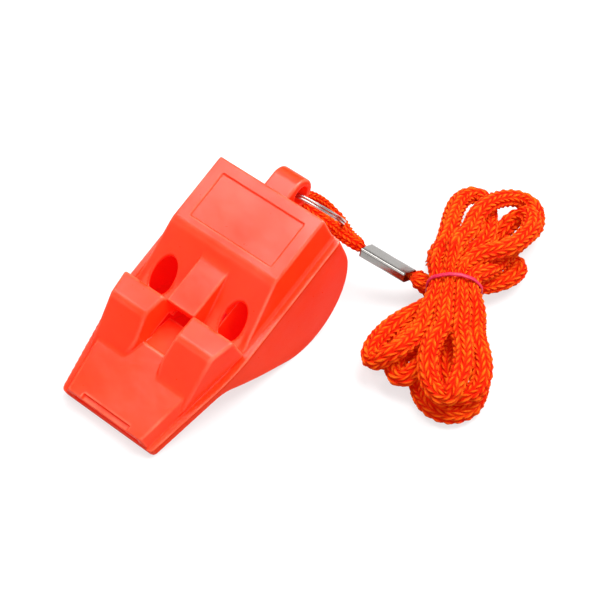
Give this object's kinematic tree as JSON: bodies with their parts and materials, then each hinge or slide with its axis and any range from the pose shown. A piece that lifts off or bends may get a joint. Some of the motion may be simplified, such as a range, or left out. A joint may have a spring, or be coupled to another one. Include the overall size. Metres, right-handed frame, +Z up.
{
  "type": "whistle",
  "caption": "Safety whistle with a curved resonance chamber, sound holes, a loose ball and a rear lug that carries a split ring and a banded neck cord.",
  "frame": {"origin": "centre of the plan box of whistle and split ring, on the surface that the belly and the mouthpiece's lower edge rest on", "axes": "+Y from the mouthpiece to the rear lug, +Z up from the resting surface, +X across the width"},
  "size_m": [0.0763, 0.1104, 0.0314],
  "materials": {
    "shell_plastic": "glossy moulded, slightly translucent orange",
    "cover_plastic": "glossy moulded, slightly translucent orange",
    "cork": "ground cork",
    "ring_steel": "nickel plated spring wire",
    "ferrule_plate": "bright plated sheet",
    "loop_knit": "knitted synthetic yarn",
    "hank_knit": "knitted synthetic yarn",
    "elastic": "thin elastic, satin"
  },
  "bodies": {
    "whistle": {"body_shell": "shell_plastic", "top_cover": "cover_plastic"},
    "ball": {"pea": "cork"},
    "ring_and_cord": {"split_ring": "ring_steel", "ferrule": "ferrule_plate", "cord_ring_loop": "loop_knit", "cord_hank": "hank_knit", "hank_band": "elastic"}
  },
  "joints": [
    {"name": "ball_roll", "type": "hinge", "parent": "whistle", "child": "ball", "pos_m": [0, 0.0079, 0.0157], "axis": [1, 0, 0], "range_deg": [-60, 130]},
    {"name": "ring_swing", "type": "hinge", "parent": "whistle", "child": "ring_and_cord", "pos_m": [0, 0.02455, 0.02662], "axis": [1, 0, 0], "range_deg": [-10, 165]}
  ]
}
